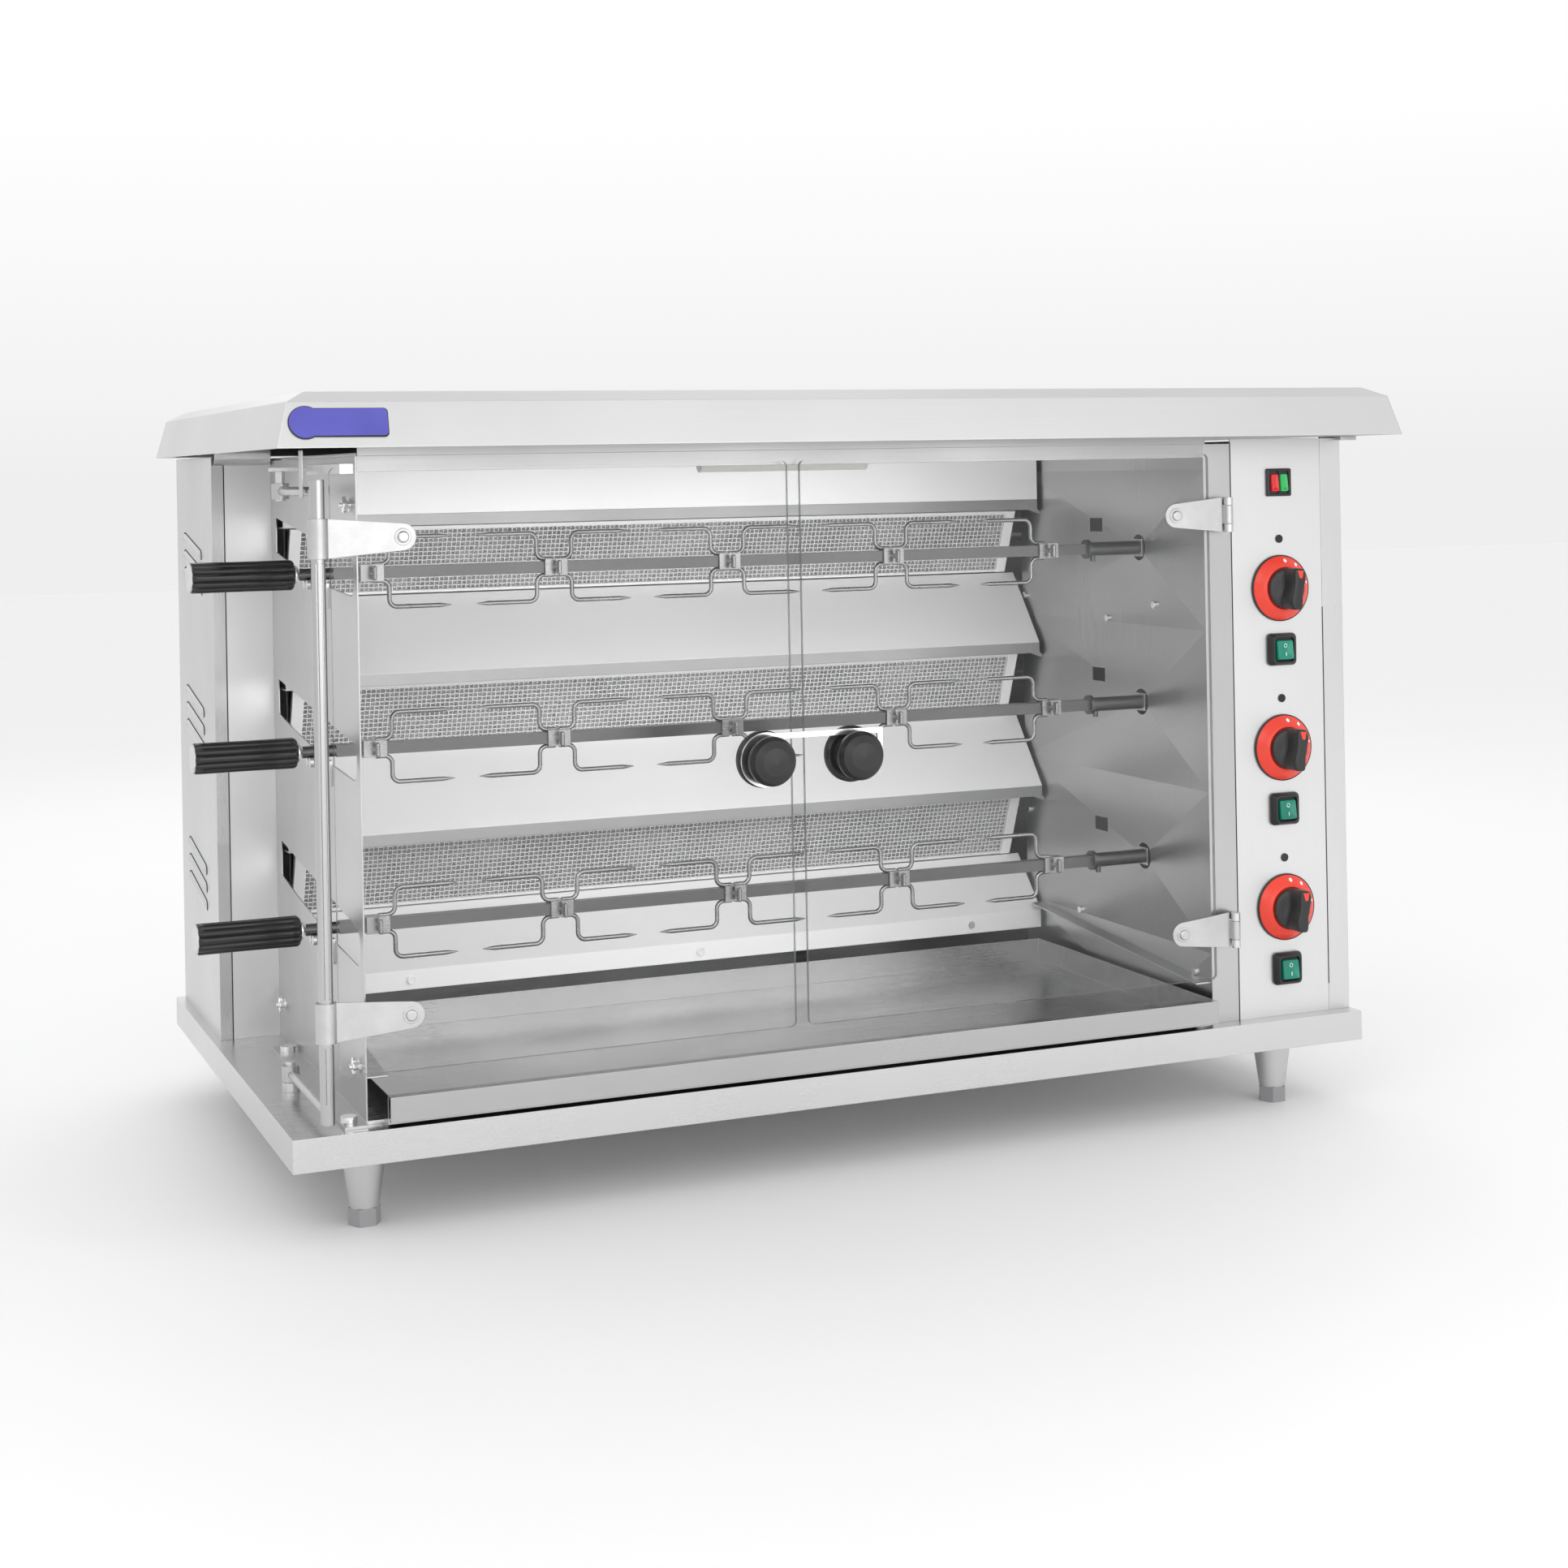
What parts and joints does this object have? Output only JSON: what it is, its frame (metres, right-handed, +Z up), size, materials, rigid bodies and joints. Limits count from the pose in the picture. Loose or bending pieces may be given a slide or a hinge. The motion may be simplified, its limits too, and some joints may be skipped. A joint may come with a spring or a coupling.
{
  "type": "rotisserie oven",
  "caption": "Countertop stainless rotisserie oven with stacked forked spits, infrared rear burners, twin swinging glass doors, drip tray and a side column of knobs and rocker switches.",
  "frame": {"origin": "middle of the footprint box, on the surface that the feet stand on", "axes": "+X to the right seen from the front, towards the control column; +Y to the rear; +Z up"},
  "size_m": [1.289, 0.769, 0.803],
  "materials": {
    "stainless_sheet": "brushed",
    "roof_steel": "satin",
    "bright_steel": "polished",
    "wire_screen": "woven wire",
    "burner_steel": "plain",
    "lamp_glass": "frosted",
    "leg_alloy": "satin",
    "tip_grey": "matt",
    "badge_blue": "gloss, blank",
    "bolt_steel": "bright",
    "gas_steel": "zinc",
    "valve_brass": "cast",
    "gland_black": "matt",
    "terminal_plastic": "matt",
    "lens_dark": "gloss",
    "bezel_red": "satin",
    "switch_black": "satin",
    "motor_grey": "matt",
    "door_glass": "clear, toughened",
    "knob_black": "satin",
    "latch_steel": "polished",
    "rocker_red": "lit",
    "rocker_green_bright": "lit",
    "spit_steel": "worn",
    "handle_black": "fluted, satin",
    "coupling_steel": "machined",
    "rocker_green": "lit"
  },
  "bodies": {
    "root": {"badge_plate": "badge_blue", "base_tray": "stainless_sheet", "burner_bodies": "burner_steel", "burner_hoods": "stainless_sheet", "burner_screens": "wire_screen", "cabinet_side": "stainless_sheet", "cable_gland": "gland_black", "chamber_lamp": "lamp_glass", "chamber_screws": "bolt_steel", "control_panel": "stainless_sheet", "corner_panel": "stainless_sheet", "door_brackets": "stainless_sheet", "feet_legs": "leg_alloy", "feet_tips": "tip_grey", "gas_line": "gas_steel", "gas_valves": "valve_brass", "header_rail": "stainless_sheet", "inner_ceiling": "stainless_sheet", "knob_bezels": "bezel_red", "louvre_panel": "stainless_sheet", "panel_lenses": "lens_dark", "rear_cover": "stainless_sheet", "reflector_panels": "bright_steel", "roof_canopy": "roof_steel", "spit_motors": "motor_grey", "spit_rests": "stainless_sheet", "switch_frames": "switch_black", "terminal_block": "terminal_plastic", "tray_rails": "stainless_sheet", "wall_left": "stainless_sheet", "wall_right": "stainless_sheet"},
    "swing": {"swing_frame": "stainless_sheet"},
    "left_door": {"door_glass_left": "door_glass", "hinge_leaves_left": "stainless_sheet", "door_knob_left": "knob_black"},
    "latch": {"door_latch": "latch_steel"},
    "right_door": {"door_glass_right": "door_glass", "hinge_leaves_right": "stainless_sheet", "door_knob_right": "knob_black"},
    "tray": {"drip_tray": "stainless_sheet"},
    "switch_light": {"rocker_light": "rocker_red"},
    "switch_heat": {"rocker_heat": "rocker_green_bright"},
    "spit_lower": {"spit_bar_lower": "spit_steel", "spit_handle_lower": "handle_black", "spit_forks_lower": "spit_steel", "drive_coupling_lower": "coupling_steel"},
    "knob_lower": {"control_knob_lower": "knob_black"},
    "switch_lower": {"rocker_lower": "rocker_green"},
    "spit_middle": {"spit_bar_middle": "spit_steel", "spit_handle_middle": "handle_black", "spit_forks_middle": "spit_steel", "drive_coupling_middle": "coupling_steel"},
    "knob_middle": {"control_knob_middle": "knob_black"},
    "switch_middle": {"rocker_middle": "rocker_green"},
    "spit_upper": {"spit_bar_upper": "spit_steel", "spit_handle_upper": "handle_black", "spit_forks_upper": "spit_steel", "drive_coupling_upper": "coupling_steel"},
    "knob_upper": {"control_knob_upper": "knob_black"},
    "switch_upper": {"rocker_upper": "rocker_green"}
  },
  "joints": [
    {"name": "swing_frame_turn", "type": "hinge", "parent": "root", "child": "swing", "pos_m": [-0.5465, -0.1395, 0.122], "axis": [0, 0, 1], "range_deg": [-95, 0]},
    {"name": "left_door_turn", "type": "hinge", "parent": "swing", "child": "left_door", "pos_m": [-0.5465, -0.3155, 0.208], "axis": [0, 0, 1], "range_deg": [-120, 0]},
    {"name": "latch_turn", "type": "hinge", "parent": "left_door", "child": "latch", "pos_m": [-0.0985, -0.3285, 0.43], "axis": [0, -1, 0], "range_deg": [0, 95]},
    {"name": "right_door_turn", "type": "hinge", "parent": "root", "child": "right_door", "pos_m": [0.4575, -0.3225, 0.208], "axis": [0, 0, 1], "range_deg": [0, 120]},
    {"name": "tray_slide", "type": "slide", "parent": "root", "child": "tray", "axis": [0, -1, 0], "range_m": [0, 0.38]},
    {"name": "spit_lower_turn", "type": "hinge", "parent": "root", "child": "spit_lower", "pos_m": [0.4575, -0.1675, 0.27], "axis": [1, 0, 0], "continuous": true},
    {"name": "knob_lower_turn", "type": "hinge", "parent": "root", "child": "knob_lower", "pos_m": [0.5325, -0.3075, 0.225], "axis": [0, -1, 0], "range_deg": [0, 270]},
    {"name": "switch_lower_rock", "type": "hinge", "parent": "root", "child": "switch_lower", "pos_m": [0.5325, -0.3075, 0.157], "axis": [-1, 0, 0], "range_deg": [0, 14]},
    {"name": "spit_middle_turn", "type": "hinge", "parent": "root", "child": "spit_middle", "pos_m": [0.4575, -0.1675, 0.448], "axis": [1, 0, 0], "continuous": true},
    {"name": "knob_middle_turn", "type": "hinge", "parent": "root", "child": "knob_middle", "pos_m": [0.5325, -0.3075, 0.403], "axis": [0, -1, 0], "range_deg": [0, 270]},
    {"name": "switch_middle_rock", "type": "hinge", "parent": "root", "child": "switch_middle", "pos_m": [0.5325, -0.3075, 0.335], "axis": [-1, 0, 0], "range_deg": [0, 14]},
    {"name": "spit_upper_turn", "type": "hinge", "parent": "root", "child": "spit_upper", "pos_m": [0.4575, -0.1675, 0.626], "axis": [1, 0, 0], "continuous": true},
    {"name": "knob_upper_turn", "type": "hinge", "parent": "root", "child": "knob_upper", "pos_m": [0.5325, -0.3075, 0.581], "axis": [0, -1, 0], "range_deg": [0, 270]},
    {"name": "switch_upper_rock", "type": "hinge", "parent": "root", "child": "switch_upper", "pos_m": [0.5325, -0.3075, 0.513], "axis": [-1, 0, 0], "range_deg": [0, 14]},
    {"name": "switch_light_rock", "type": "hinge", "parent": "root", "child": "switch_light", "pos_m": [0.5265, -0.3075, 0.699], "axis": [-1, 0, 0], "range_deg": [0, 14]},
    {"name": "switch_heat_rock", "type": "hinge", "parent": "root", "child": "switch_heat", "pos_m": [0.5385, -0.3075, 0.699], "axis": [-1, 0, 0], "range_deg": [0, 14]}
  ]
}
